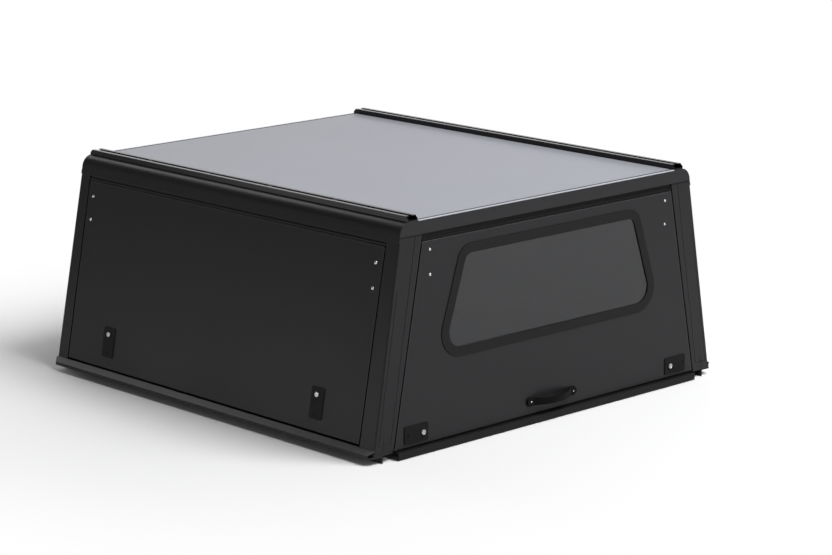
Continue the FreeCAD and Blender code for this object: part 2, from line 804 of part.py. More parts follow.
def end_grooves():
    """Cutters for a rear post's grooves: beside the door, round the corner cover, at the foot and the seam."""
    foot_z = seat_z + post_groove_foot_rise
    depth = post_groove_depth
    cutters = []
    for edge, top in ((door_groove_x, post_seam_z - post_groove / 2), (corner_groove_x, corner_groove_top_z)):
        far = lambda z: edge(z) + post_groove
        cutters.append(leaning_block(foot_z, top, edge, far, rear_y, -depth, depth))
    for z, start, end in ((foot_z, door_groove_x, corner_groove_x),
                          (corner_groove_top_z, corner_groove_x, beyond_side),
                          (post_seam_z - post_groove, beyond_opening, beyond_side)):
        cutters.append(leaning_block(z, z + post_groove, start, end, rear_y, -depth, depth))
    return cutters


def corner_post(side_face, inward, end_y, end_lean, cutters):
    """Corner extrusion from the base rail to the shoulder rail, with a tab up to the seam under the header."""
    foot = post_section(seat_top_z, side_face, inward, end_y, end_lean)
    head = post_section(shoulder_z, side_face, inward, end_y, end_lean)
    post = Part.makeLoft([foot, head], True, True)
    tab = leaning_block(shoulder_z, post_seam_z, end_opening, side_x, end_y, 0, inward * wall)
    return solid_of(post.fuse(tab).cut(cutters))


def front_bulkhead():
    """Fixed front sheet, folded back to the posts, with a window like the rear one."""
    foot_z = seat_top_z + door_depth * slope(front_lean)
    outline = end_outline(foot_z, header_z, 0, front_lean)
    tray = slab(outline, bead_depth - door_depth, bead_depth)
    hollow = slab(inset(outline, sheet), bead_depth - door_depth, bead_depth - sheet)
    opening = window_slab(rubber_hold, bead_depth - door_depth, bead_depth)
    return tray.cut([hollow, opening])


def save(name, shape):
    shape.exportStep("parts/" + name + ".step")


def build():
    os.makedirs("parts", exist_ok=True)
    rail = base_rail()
    front_rail = front_base_rail()
    shoulder = shoulder_rail()
    track = roof_track()
    rear_post = corner_post(rear_post_side, 1, rear_y, rear_lean, end_grooves() + [rail])
    front_post = corner_post(front_post_side, -1, front_y, front_lean, [rail, front_rail])
    pairs = {"shoulder_rail": shoulder, "roof_track": track, "base_rail": rail,
             "rear_corner_post": rear_post, "front_corner_post": front_post}
    for piece, shape in side_door().items():
        pairs["door_" + piece] = on_side(shape)
    for name, shape in pairs.items():
        save("right_" + name, shape)
        save("left_" + name, left_of(shape))
    save("roof_skin", roof_skin())
    save("roof_bows", roof_bows())
    save("rear_header", solid_of(header(roof_rear_y, 1).fuse(on_rear(rear_hinge_bead()))))
    save("front_header", solid_of(header(roof_front_y, -1)))
    save("front_base_rail", front_rail)
    save("front_bulkhead", solid_of(on_front(front_bulkhead())))
    save("front_window_rubber", on_front(window_rubber()))
    save("front_window_glass", on_front(window_glass()))
    for piece, shape in rear_door().items():
        save("rear_door_" + piece, on_rear(shape))


build()
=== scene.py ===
import math

import bmesh
import bpy
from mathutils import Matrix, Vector


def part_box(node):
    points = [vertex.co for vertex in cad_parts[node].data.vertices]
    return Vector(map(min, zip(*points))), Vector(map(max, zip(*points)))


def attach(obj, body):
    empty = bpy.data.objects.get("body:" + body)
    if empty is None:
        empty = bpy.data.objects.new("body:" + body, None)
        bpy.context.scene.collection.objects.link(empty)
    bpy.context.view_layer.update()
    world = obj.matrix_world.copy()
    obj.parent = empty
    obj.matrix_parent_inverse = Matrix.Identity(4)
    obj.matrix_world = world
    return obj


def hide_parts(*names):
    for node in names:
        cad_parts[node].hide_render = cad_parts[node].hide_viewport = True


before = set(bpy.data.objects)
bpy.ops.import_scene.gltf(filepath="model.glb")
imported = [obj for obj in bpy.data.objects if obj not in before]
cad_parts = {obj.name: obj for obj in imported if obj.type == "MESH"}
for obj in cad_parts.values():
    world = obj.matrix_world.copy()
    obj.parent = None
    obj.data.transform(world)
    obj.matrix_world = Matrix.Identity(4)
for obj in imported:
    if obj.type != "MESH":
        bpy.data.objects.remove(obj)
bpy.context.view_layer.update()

# Camera: a long lens about nine metres away, a little above the roof, looking at the near rear corner.
# Its place was worked out from the canopy's straight edges.
lens = bpy.data.cameras.new("camera")
lens.sensor_width = 36
lens.lens = 119.49
lens.shift_x = 0.0342
lens.shift_y = -0.0004
camera = bpy.data.objects.new("camera", lens)
camera.location = (-6.4318, -6.7875, 2.4980)
camera.rotation_euler = (math.radians(77.022), 0, math.radians(-43.508))
bpy.context.scene.collection.objects.link(camera)
bpy.context.scene.camera = camera
bpy.context.scene.view_settings.view_transform = "Standard"


# Studio: a pale seamless floor, a grey room and one large soft lamp, above the canopy and behind its rear
# door, so the roof is lightest, the rear next and the near side darkest. A weaker lamp in front draws the
# light along the shoulder. The floor looks white to the camera, and to glass and gloss, while it throws
# back only the light that a grey floor does. A long low lamp brightens the foot of the near side, and a
# far one beyond the front shines along the roof and over the tops of the tracks. Two more stand low in
# front and at the right, lower than the roof, and light only those two faces.
def linear(code):
    """An sRGB hex colour in linear light."""
    parts = [int(code[i:i + 2], 16) / 255 for i in (1, 3, 5)]
    return [p / 12.92 if p <= 0.04045 else ((p + 0.055) / 1.055) ** 2.4 for p in parts] + [1]


def add(tree, kind, inputs=None, **settings):
    """A new node, with its settings, and with a value or a link for each named input."""
    made = tree.nodes.new(kind)
    for name, value in settings.items():
        setattr(made, name, value)
    for name, value in (inputs or {}).items():
        if isinstance(value, bpy.types.NodeSocket):
            tree.links.new(value, made.inputs[name])
        else:
            made.inputs[name].default_value = value
    return made


studio_floor = bpy.data.materials.new("matt white floor")
studio_floor.use_nodes = True
tree = studio_floor.node_tree
ray = add(tree, "ShaderNodeLightPath")
seen = add(tree, "ShaderNodeMath", {0: ray.outputs["Is Camera Ray"], 1: ray.outputs["Is Transmission Ray"]},
           operation="MAXIMUM")
dull = add(tree, "ShaderNodeMix", {0: ray.outputs["Is Glossy Ray"], 6: linear("#a0a0a0"), 7: linear("#e2e2e3")},
           data_type="RGBA")
shade = add(tree, "ShaderNodeMix", {0: seen.outputs[0], 6: dull.outputs[2], 7: linear("#fafafa")},
            data_type="RGBA")
paint = tree.nodes["Principled BSDF"]
paint.inputs["Roughness"].default_value = 0.9
paint.inputs["Specular IOR Level"].default_value = 0.1
tree.links.new(shade.outputs[2], paint.inputs["Base Color"])
place = add(tree, "ShaderNodeTexCoord").outputs["Object"]
away = add(tree, "ShaderNodeVectorMath", {0: place}, operation="LENGTH")
fade_from, fade_to = 1.0, 2.4
far = add(tree, "ShaderNodeMapRange", {0: away.outputs["Value"], 1: fade_from, 2: fade_to},
          interpolation_type="SMOOTHSTEP")
bright = add(tree, "ShaderNodeMath", {0: far.outputs[0], 1: ray.outputs["Is Camera Ray"]}, operation="MULTIPLY")
white = add(tree, "ShaderNodeEmission", {"Color": (1, 1, 1, 1), "Strength": 1})
ground = add(tree, "ShaderNodeMixShader", {0: bright.outputs[0], 1: paint.outputs[0], 2: white.outputs[0]})
tree.links.new(ground.outputs[0], tree.nodes["Material Output"].inputs["Surface"])
floor_half = 40
floor_mesh = bpy.data.meshes.new("floor")
floor_mesh.from_pydata([(x * floor_half, y * floor_half, 0) for x, y in ((-1, -1), (1, -1), (1, 1), (-1, 1))],
                       [], [(0, 1, 2, 3)])
floor_mesh.materials.append(studio_floor)
floor = bpy.data.objects.new("floor", floor_mesh)
bpy.context.scene.collection.objects.link(floor)

room = bpy.data.worlds.new("room")
room.use_nodes = True
tree = room.node_tree
ray = add(tree, "ShaderNodeLightPath")
seen = add(tree, "ShaderNodeMath", {0: ray.outputs["Is Camera Ray"], 1: ray.outputs["Is Transmission Ray"]},
           operation="MAXIMUM")
up = add(tree, "ShaderNodeSeparateXYZ", {0: add(tree, "ShaderNodeTexCoord").outputs["Generated"]})
climb = add(tree, "ShaderNodeMapRange", {0: up.outputs["Z"], 1: 0.1, 2: 0.55}, interpolation_type="SMOOTHSTEP")
wall = add(tree, "ShaderNodeMix", {0: climb.outputs[0], 6: linear("#9c9c9e"), 7: linear("#4b4b4d")},
           data_type="RGBA")
shade = add(tree, "ShaderNodeMix", {0: seen.outputs[0], 6: wall.outputs[2], 7: linear("#ffffff")},
            data_type="RGBA")
tree.links.new(shade.outputs[2], tree.nodes["Background"].inputs["Color"])
bpy.context.scene.world = room


def lamp(name, place, aim, width, height, watts, hidden=False):
    """A soft rectangular lamp that looks from its place towards a point."""
    light = bpy.data.lights.new(name, "AREA")
    light.shape = "RECTANGLE"
    light.size = width
    light.size_y = height
    light.energy = watts
    stand = bpy.data.objects.new(name, light)
    stand.location = place
    stand.rotation_euler = (Vector(place) - Vector(aim)).to_track_quat("Z", "Y").to_euler()
    stand.visible_camera = not hidden
    stand.visible_transmission = not hidden
    bpy.context.scene.collection.objects.link(stand)


lamp("soft lamp", (1.6, -5.0, 7.4), (0, 0, 0.4), 5, 5, 850)
lamp("strip lamp", (0.9, 6.2, 5.8), (0, 0, 0.7), 3.6, 2.4, 70)
lamp("back lamp", (7.0, 8.2, 2.8), (0, 0, 0.75), 6, 2.2, 48)
lamp("low lamp", (-2.4, 0.2, 0.16), (0, 0.2, 0.16), 4.2, 0.25, 4, True)
lamp("front lamp", (1.4, 4.2, 0.4), (1.4, 0, 0.4), 4.2, 0.6, 60, True)
lamp("right lamp", (4.2, 1.4, 0.4), (0, 1.4, 0.4), 4.2, 0.6, 60, True)


# Roof: one aluminium sheet with a light grey satin coat, sprayed on, with a faint orange peel. Being wide
# and thin it isn't quite flat. Beyond the seam at each end the folded edge is painted paler: a painted
# highlight where the edge catches the light.
def coated(name, colour, other, patch, rough, grain, relief, sway=0, sway_relief=0, shine=0.5, edge_highlight=None):
    """Coat over metal with rounded edges, painted paler along them when a highlight colour is given: patches of
    tone, a grain and a sway in mm.
    """
    made = bpy.data.materials.new(name)
    made.use_nodes = True
    tree = made.node_tree
    shader = tree.nodes["Principled BSDF"]
    place = add(tree, "ShaderNodeTexCoord").outputs["Object"]
    drift = add(tree, "ShaderNodeTexNoise", {"Vector": place, "Scale": 1000 / patch, "Detail": 4,
                                             "Roughness": 0.55})
    tone = add(tree, "ShaderNodeMix", {0: drift.outputs[0], 6: linear(colour), 7: linear(other)}, data_type="RGBA")
    gloss = add(tree, "ShaderNodeMapRange", {0: drift.outputs[0], 3: rough - 0.06, 4: rough + 0.06})
    edge = add(tree, "ShaderNodeBevel", {"Radius": 0.002}, samples=6)
    peel = add(tree, "ShaderNodeTexNoise", {"Vector": place, "Scale": 1000 / grain, "Detail": 2})
    height = add(tree, "ShaderNodeBump", {"Height": peel.outputs[0], "Distance": relief / 1000, "Strength": 1,
                                          "Normal": edge.outputs[0]})
    if sway:
        slow = add(tree, "ShaderNodeTexNoise", {"Vector": place, "Scale": 1000 / sway, "Detail": 1})
        height = add(tree, "ShaderNodeBump", {"Height": slow.outputs[0], "Distance": sway_relief / 1000,
                                              "Strength": 1, "Normal": height.outputs[0]})
    # Painted highlight: a paler line along the rounded edges, where the bevel's normal turns away from the face.
    if edge_highlight:
        flat = add(tree, "ShaderNodeNewGeometry").outputs["Normal"]
        bend = add(tree, "ShaderNodeVectorMath", {0: edge.outputs[0], 1: flat}, operation="DOT_PRODUCT")
        edge_highlight_mask = add(tree, "ShaderNodeMapRange", {0: bend.outputs["Value"], 1: 0.97, 2: 0.8, 3: 0.0, 4: 0.9})
        tone = add(tree, "ShaderNodeMix", {0: edge_highlight_mask.outputs[0], 6: tone.outputs[2], 7: linear(edge_highlight)},
                   data_type="RGBA")
    tree.links.new(tone.outputs[2], shader.inputs["Base Color"])
    tree.links.new(gloss.outputs[0], shader.inputs["Roughness"])
    tree.links.new(height.outputs[0], shader.inputs["Normal"])
    shader.inputs["Specular IOR Level"].default_value = shine
    return made


def dress(material, *names):
    """Gives whole CAD pieces one finish."""
    for name in names:
        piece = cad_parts[name].data
        piece.materials.clear()
        piece.materials.append(material)


roof_coat = coated("light grey sprayed coat", "#9ea0a8", "#a3a5ad", 420, 0.42, 2.2, 0.012,
                   sway=380, sway_relief=0.5)
roof_low, roof_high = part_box("roof_skin")
fold = 0.0085
fold_start = (roof_high.y - roof_low.y) / 2 - fold
tree = roof_coat.node_tree
shader = tree.nodes["Principled BSDF"]
sheet_tone = shader.inputs["Base Color"].links[0].from_socket
along = add(tree, "ShaderNodeSeparateXYZ", {0: add(tree, "ShaderNodeTexCoord").outputs["Object"]})
centred = add(tree, "ShaderNodeMath", {0: along.outputs["Y"], 1: (roof_low.y + roof_high.y) / 2},
              operation="SUBTRACT")
outward = add(tree, "ShaderNodeMath", {0: centred.outputs[0]}, operation="ABSOLUTE")
# Painted highlight: the folded strip beyond each end seam is painted paler, standing in for the light it catches.
painted_fold_highlight = add(tree, "ShaderNodeMapRange", {0: outward.outputs[0], 1: fold_start - 0.0002,
                                          2: fold_start + 0.0002})
tone = add(tree, "ShaderNodeMix", {0: painted_fold_highlight.outputs[0], 6: sheet_tone, 7: linear("#c8cad2")}, data_type="RGBA")
tree.links.new(tone.outputs[2], shader.inputs["Base Color"])
dress(roof_coat, "roof_skin")

# Seams across the roof: where the sheet is folded down at each end the joint is filled with a bead of dark
# polyurethane sealant, smoothed inwards over the sheet with a finger. Its width and height waver a little,
# and it has a soft, rubbery sheen.
sealant = bpy.data.materials.new("polyurethane sealant")
sealant.use_nodes = True
tree = sealant.node_tree
place = add(tree, "ShaderNodeTexCoord").outputs["Object"]
smooth = add(tree, "ShaderNodeTexNoise", {"Vector": place, "Scale": 1000 / 35, "Detail": 3})
tone = add(tree, "ShaderNodeMix", {0: smooth.outputs[0], 6: linear("#17181a"), 7: linear("#222325")},
           data_type="RGBA")
gloss = add(tree, "ShaderNodeMapRange", {0: smooth.outputs[0], 3: 0.5, 4: 0.65})
tree.links.new(tone.outputs[2], tree.nodes["Principled BSDF"].inputs["Base Color"])
tree.links.new(gloss.outputs[0], tree.nodes["Principled BSDF"].inputs["Roughness"])
seam_inset = 0.013
seam_half = 0.0045
seam_short = 0.0004
seam_steps = 120
seam_run = roof_high.x - roof_low.x - 2 * seam_short
beads = bmesh.new()
for middle in (roof_low.y + seam_inset, roof_high.y - seam_inset):
    loops = []
    for i in range(seam_steps + 1):
        x = roof_low.x + seam_short + seam_run * i / seam_steps
        half = seam_half + 0.00015 * math.sin(i * 0.9)
        crown = roof_high.z + 0.0005 + 0.00015 * math.sin(i * 0.37)
        outline = [(-half, roof_high.z - 0.0008), (half, roof_high.z - 0.0008), (half, roof_high.z + 0.0001),
                   (half * 0.5, crown), (-half * 0.5, crown), (-half, roof_high.z + 0.0001)]
        loops.append([beads.verts.new((x, middle + y, z)) for y, z in outline])
    for low, high in zip(loops, loops[1:]):
        for k in range(len(low)):
            beads.faces.new((low[k], low[k - 1], high[k - 1], high[k]))
    beads.faces.new(loops[0])
    beads.faces.new(reversed(loops[-1]))
bmesh.ops.recalc_face_normals(beads, faces=beads.faces)
bead_mesh = bpy.data.meshes.new("roof seam sealant")
beads.to_mesh(bead_mesh)
beads.free()
bead_mesh.materials.append(sealant)
bead_mesh.shade_smooth()


def piece_of(name, data):
    """An object at the origin for a mesh that holds its own place."""
    made = bpy.data.objects.new(name, data)
    bpy.context.scene.collection.objects.link(made)
    return made


seam_beads = piece_of("roof_seam_sealant", bead_mesh)
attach(seam_beads, "frame")

# Frame of the box: welded aluminium extrusions with a black textured powder coat, baked on. The texture
# is a fine even grain that spreads the light, so that edges stay soft and faces look almost flat black.
frame_coat = coated("black textured powder coat", "#19191b", "#1d1d1f", 160, 0.38, 0.9, 0.03, shine=0.32)
dress(frame_coat, "front_header", "left_shoulder_rail", "right_shoulder_rail",
      "left_rear_corner_post", "right_rear_corner_post", "left_front_corner_post", "right_front_corner_post")

# Rear header: the same coat above the header's face. Below the face, where the door's hook turns on the bead,
# it is painted near black with less shine: painted shade of the recess under the header's lip.
header_shine, shaded_shine = 0.36, 0.12
header_face_foot = 0.705
header_coat = coated("black powder coat, painted shade below the face", "#1e1e20", "#222224", 160, 0.38, 0.9, 0.03,
                     shine=header_shine)
tree = header_coat.node_tree
shader = tree.nodes["Principled BSDF"]
coat_tone = shader.inputs["Base Color"].links[0].from_socket
level = add(tree, "ShaderNodeSeparateXYZ", {0: add(tree, "ShaderNodeTexCoord").outputs["Object"]})
painted_shade_band = add(tree, "ShaderNodeMapRange", {0: level.outputs["Z"], 1: header_face_foot - 0.0002,
                                          2: header_face_foot + 0.0002})
# Painted shade: below the foot of the face the colour turns near black and the shine drops.
tone = add(tree, "ShaderNodeMix", {0: painted_shade_band.outputs[0], 6: linear("#0c0c0d"), 7: coat_tone}, data_type="RGBA")
shine = add(tree, "ShaderNodeMapRange", {0: painted_shade_band.outputs[0], 3: shaded_shine, 4: header_shine})
tree.links.new(tone.outputs[2], shader.inputs["Base Color"])
tree.links.new(shine.outputs[0], shader.inputs["Specular IOR Level"])
dress(header_coat, "rear_header")

# Base rails: aluminium extrusions in the same coat, a little worn, on the rails of the tub. Faces that look
# up are paler grey in patches, less so towards the rear.
rail_coat = coated("black powder coat, paler on top", "#1f1f20", "#262627", 90, 0.5, 0.9, 0.06, shine=0.36)
tree = rail_coat.node_tree
shader = tree.nodes["Principled BSDF"]
bare = shader.inputs["Base Color"].links[0].from_socket
facing = add(tree, "ShaderNodeSeparateXYZ", {0: add(tree, "ShaderNodeNewGeometry").outputs["Normal"]})
place = add(tree, "ShaderNodeTexCoord").outputs["Object"]
pale_patches = add(tree, "ShaderNodeTexNoise", {"Vector": place, "Scale": 1000 / 25, "Detail": 5, "Roughness": 0.65})
lies = add(tree, "ShaderNodeMapRange", {0: facing.outputs["Z"], 1: 0.3, 2: 0.8, 4: 0.8})
thick = add(tree, "ShaderNodeMapRange", {0: pale_patches.outputs[0], 3: 0.7, 4: 1.0})
along = add(tree, "ShaderNodeSeparateXYZ", {0: place})
pale_from, pale_to = -0.75, 0.1
paler_to_front = add(tree, "ShaderNodeMapRange", {0: along.outputs["Y"], 1: pale_from, 2: pale_to, 3: 0.4, 4: 1.0})
film = add(tree, "ShaderNodeMath", {0: lies.outputs[0], 1: thick.outputs[0]}, operation="MULTIPLY")
cover = add(tree, "ShaderNodeMath", {0: film.outputs[0], 1: paler_to_front.outputs[0]}, operation="MULTIPLY")
paler_on_top = add(tree, "ShaderNodeMix", {0: cover.outputs[0], 6: bare, 7: linear("#777776")}, data_type="RGBA")
tree.links.new(paler_on_top.outputs[2], shader.inputs["Base Color"])
dress(rail_coat, "left_base_rail", "right_base_rail", "front_base_rail")

# Front bulkhead: a folded aluminium sheet in the same coat as the doors, with a painted highlight, a paler
# line along its folded edges.
sheet_coat = coated("black textured powder coat on sheet", "#1c1c1e", "#202022", 300, 0.44, 0.8, 0.04,
                    sway=260, sway_relief=0.3, shine=0.34, edge_highlight="#8a8a8c")
dress(sheet_coat, "front_bulkhead")

# Doors: folded aluminium skins in black textured powder coat. Being thin sheet they aren't quite flat,
# and show it as slow changes of tone. The rear one has a lip that laps over the top of the tailgate, and
# is rubbed dull by it.
# The doors share the bulkhead's painted highlight, a paler line along their folded edges.
dress(sheet_coat, "left_door_skin", "right_door_skin", "rear_door_skin")
lip_coat = coated("black powder coat on the lip", "#161617", "#1b1b1c", 120, 0.5, 0.8, 0.04, shine=0.2)
dress(lip_coat, "rear_door_tailgate_lip")

# Inside: the doors' pressed inner panels and the two channels under the roof, of thin aluminium sheet,
# with a thinner, plainer coat that looks greyer than the outside.
inner_coat = coated("thin black powder coat", "#2b2b2c", "#313132", 220, 0.55, 0.7, 0.04,
                    sway=200, sway_relief=0.3, shine=0.4)
dress(inner_coat, "left_door_inner_panel", "right_door_inner_panel", "rear_door_inner_panel", "roof_bows")


# Roof tracks and hook hinges: black anodised aluminium, extruded. The die leaves fine lines along the
# length, which shine a little along them. The hinge strips are duller, from the hands that lift the doors.
def anodised(name, colour, other, rough, shine, run=1):
    """Dyed oxide on an extrusion that runs along X (0) or Y (1)."""
    made = bpy.data.materials.new(name)
    made.use_nodes = True
    tree = made.node_tree
    shader = tree.nodes["Principled BSDF"]
    place = add(tree, "ShaderNodeTexCoord").outputs["Object"]
    line_spacing, line_length = 0.9, 260
    spacing = [1000 / line_spacing] * 3
    spacing[run] = 1000 / line_length
    drawn = add(tree, "ShaderNodeMapping", {"Vector": place, "Scale": spacing})
    lines = add(tree, "ShaderNodeTexNoise", {"Vector": drawn.outputs[0], "Scale": 1, "Detail": 2})
    cloud = add(tree, "ShaderNodeTexNoise", {"Vector": place, "Scale": 1000 / 120, "Detail": 3})
    both = add(tree, "ShaderNodeMath", {0: lines.outputs[0], 1: cloud.outputs[0]}, operation="MULTIPLY")
    tone = add(tree, "ShaderNodeMix", {0: both.outputs[0], 6: linear(colour), 7: linear(other)}, data_type="RGBA")
    gloss = add(tree, "ShaderNodeMapRange", {0: lines.outputs[0], 3: rough - 0.08, 4: rough + 0.08})
    grooves = add(tree, "ShaderNodeBump", {"Height": lines.outputs[0], "Distance": 0.00003, "Strength": 1})
    tree.links.new(tone.outputs[2], shader.inputs["Base Color"])
    tree.links.new(gloss.outputs[0], shader.inputs["Roughness"])
    tree.links.new(grooves.outputs[0], shader.inputs["Normal"])
    shader.inputs["Specular IOR Level"].default_value = shine
    return made


track_finish = anodised("black anodised aluminium", "#070708", "#0e0e0f", 0.24, 0.33)
dress(track_finish, "left_roof_track", "right_roof_track")
hinge_finish = anodised("dull black anodised aluminium", "#1b1b1c", "#212122", 0.5, 0.34)
dress(hinge_finish, "left_door_hinge_strip", "right_door_hinge_strip")
# The rear hinge strip is painted deeper black with little shine: painted shade of the recess under the rear
# header.
rear_hinge_shaded_finish = anodised("black anodised aluminium, painted shade", "#101011", "#151516", 0.6, 0.12, 0)
dress(rear_hinge_shaded_finish, "rear_door_hinge_strip")


# Seals and window surrounds: extruded black rubber, the surrounds solid and the doors' seals of sponge. It
# is matt, with a fine skin and a trace of pale bloom, so it looks softer than the coat round it.
def rubber(name, colour, bloom, pore, relief, rough):
    """Matt rubber: pale bloom in patches, over pores of a size in mm."""
    made = bpy.data.materials.new(name)
    made.use_nodes = True
    tree = made.node_tree
    shader = tree.nodes["Principled BSDF"]
    place = add(tree, "ShaderNodeTexCoord").outputs["Object"]
    haze = add(tree, "ShaderNodeTexNoise", {"Vector": place, "Scale": 1000 / 60, "Detail": 5, "Roughness": 0.6})
    tone = add(tree, "ShaderNodeMix", {0: haze.outputs[0], 6: linear(colour), 7: linear(bloom)}, data_type="RGBA")
    gloss = add(tree, "ShaderNodeMapRange", {0: haze.outputs[0], 3: rough - 0.05, 4: rough + 0.08})
    skin = add(tree, "ShaderNodeTexVoronoi", {"Vector": place, "Scale": 1000 / pore})
    height = add(tree, "ShaderNodeBump", {"Height": skin.outputs["Distance"], "Distance": relief / 1000,
                                          "Strength": 1})
    tree.links.new(tone.outputs[2], shader.inputs["Base Color"])
    tree.links.new(gloss.outputs[0], shader.inputs["Roughness"])
    tree.links.new(height.outputs[0], shader.inputs["Normal"])
    shader.inputs["Specular IOR Level"].default_value = 0.25
    return made


window_rubber = rubber("solid EPDM rubber", "#131313", "#1a1a19", 0.7, 0.02, 0.6)
seal_foam = rubber("EPDM sponge rubber", "#161616", "#202020", 1.6, 0.15, 0.8)
dress(window_rubber, "rear_door_window_rubber", "front_window_rubber")
dress(seal_foam, "left_door_seal", "right_door_seal", "rear_door_seal")

# Windows: tinted safety glass, 4 mm thick, grey all through. Its faces are clean and flat, so that they
# mirror the pale surroundings over the dark inside.
glass = bpy.data.materials.new("grey tinted float glass")
glass.use_nodes = True
tree = glass.node_tree
shader = tree.nodes["Principled BSDF"]
place = add(tree, "ShaderNodeTexCoord").outputs["Object"]
film = add(tree, "ShaderNodeTexNoise", {"Vector": place, "Scale": 1000 / 180, "Detail": 4})
tint = add(tree, "ShaderNodeMix", {0: film.outputs[0], 6: linear("#3d4149"), 7: linear("#434850")},
           data_type="RGBA")
smear = add(tree, "ShaderNodeMapRange", {0: film.outputs[0], 3: 0.0, 4: 0.006})
tree.links.new(tint.outputs[2], shader.inputs["Base Color"])
tree.links.new(smear.outputs[0], shader.inputs["Roughness"])
shader.inputs["Transmission Weight"].default_value = 1
shader.inputs["IOR"].default_value = 1.58
shader.inputs["Specular IOR Level"].default_value = 0.62
dress(glass, "rear_door_window_glass", "front_window_glass")


# Locks: flat plates moulded in black nylon, each with a turning key barrel. The mould's spark texture
# spreads the light, so they look flatter than the doors. The side doors' plates are painted a little paler:
# painted light that makes up for the shade on the sides.
def moulded(name, colour, other, rough, grain):
    """Moulded plastic with an even spark texture of a grain in mm."""
    made = bpy.data.materials.new(name)
    made.use_nodes = True
    tree = made.node_tree
    shader = tree.nodes["Principled BSDF"]
    place = add(tree, "ShaderNodeTexCoord").outputs["Object"]
    flow = add(tree, "ShaderNodeTexNoise", {"Vector": place, "Scale": 1000 / 45, "Detail": 3})
    tone = add(tree, "ShaderNodeMix", {0: flow.outputs[0], 6: linear(colour), 7: linear(other)}, data_type="RGBA")
    spark = add(tree, "ShaderNodeTexNoise", {"Vector": place, "Scale": 1000 / grain, "Detail": 1})
    gloss = add(tree, "ShaderNodeMapRange", {0: spark.outputs[0], 3: rough - 0.06, 4: rough + 0.06})
    height = add(tree, "ShaderNodeBump", {"Height": spark.outputs[0], "Distance": 0.00003, "Strength": 1})
    tree.links.new(tone.outputs[2], shader.inputs["Base Color"])
    tree.links.new(gloss.outputs[0], shader.inputs["Roughness"])
    tree.links.new(height.outputs[0], shader.inputs["Normal"])
    shader.inputs["Specular IOR Level"].default_value = 0.07
    return made


lock_plastic = moulded("black moulded nylon", "#1d1d1e", "#222223", 0.55, 0.6)
dress(lock_plastic, "rear_door_lock_left", "rear_door_lock_right")
# Painted light: the side plates are a paler copy of the rear plates' colour, to make up for the sides' shade.
side_fill_plastic = moulded("black moulded nylon, painted light for the shaded sides", "#2b2b2c", "#313132", 0.55, 0.6)
dress(side_fill_plastic, *[hand + "_door_lock_" + end for hand in ("left", "right") for end in ("front", "rear")])


# Key barrels: caps of nickel plated brass, bright and a little warm, turned with a rim and pressed over
# the ends of the barrels. They sit on the locks' plates, which follow the lean of the sides and the rear.
side_lean = math.radians(9.83)
rear_lean = math.radians(0.57)
side_foot = 0.8075
rear_foot = -0.7946


def side_x(z):
    """Outer face of the right side at height z."""
    return side_foot - z * math.tan(side_lean)


def rear_y(z):
    """Outer face of the rear at height z."""
    return rear_foot + z * math.tan(rear_lean)


side_out = {sign: Vector((sign * math.cos(side_lean), 0, math.sin(side_lean))) for sign in (-1, 1)}
rear_out = Vector((0, -math.cos(rear_lean), math.sin(rear_lean)))


def metal(name, colour, other, rough, grain):
    """Bare or plated metal with faint turning marks, their spacing in mm."""
    made = bpy.data.materials.new(name)
    made.use_nodes = True
    tree = made.node_tree
    shader = tree.nodes["Principled BSDF"]
    place = add(tree, "ShaderNodeTexCoord").outputs["Object"]
    marks = add(tree, "ShaderNodeTexNoise", {"Vector": place, "Scale": 1000 / grain, "Detail": 4})
    tone = add(tree, "ShaderNodeMix", {0: marks.outputs[0], 6: linear(colour), 7: linear(other)}, data_type="RGBA")
    gloss = add(tree, "ShaderNodeMapRange", {0: marks.outputs[0], 3: rough - 0.07, 4: rough + 0.07})
    tree.links.new(tone.outputs[2], shader.inputs["Base Color"])
    tree.links.new(gloss.outputs[0], shader.inputs["Roughness"])
    shader.inputs["Metallic"].default_value = 1
    return made


nickel = metal("bright nickel plate", "#c0bfbb", "#cac9c5", 0.28, 1.5)


def ring(mesh, radius, height, sides, flats=0):
    """One ring of points round Z, round or with a number of flats."""
    points = []
    for i in range(sides):
        angle = 2 * math.pi * i / sides
        reach = radius
        if flats:
            step = 2 * math.pi / flats
            reach = radius / math.cos((angle + step / 2) % step - step / 2)
        points.append(mesh.verts.new((reach * math.cos(angle), reach * math.sin(angle), height)))
    return points


def turned(rings):
    """Closed mesh of the rings joined one to the next and capped at both ends."""
    mesh = bmesh.new()
    loops = [ring(mesh, *each) for each in rings]
    for low, high in zip(loops, loops[1:]):
        for i in range(len(low)):
            j = (i + 1) % len(low)
            mesh.faces.new((low[i], low[j], high[j], high[i]))
    mesh.faces.new(reversed(loops[0]))
    mesh.faces.new(loops[-1])
    bmesh.ops.recalc_face_normals(mesh, faces=mesh.faces)
    return mesh


def mesh_of(name, built, material):
    """A mesh block with soft shading between its sharp edges."""
    data = bpy.data.meshes.new(name)
    built.to_mesh(data)
    built.free()
    data.materials.append(material)
    data.shade_smooth()
    data.set_sharp_from_angle(angle=math.radians(32))
    return data


def set_on(data, spots):
    """One mesh of copies of a part, each with its foot at a point and its Z along an outward direction."""
    whole = bmesh.new()
    for foot, out in spots:
        turn = Vector(out).to_track_quat("Z", "Y").to_matrix().to_4x4()
        turn.translation = Vector(foot)
        copy = data.copy()
        copy.transform(turn)
        whole.from_mesh(copy)
        bpy.data.meshes.remove(copy)
    return whole


# Each ring is a radius, a height and a number of points.
cap_rings = [(0.0088, 0.0002, 32), (0.0088, 0.0040, 32), (0.0084, 0.0048, 32), (0.0074, 0.0050, 32),
             (0.0070, 0.0046, 32), (0.0066, 0.0046, 32), (0.0064, 0.0049, 32), (0.0028, 0.0050, 32),
             (0.0026, 0.0043, 32)]
cap = mesh_of("key cap", turned(cap_rings), nickel)


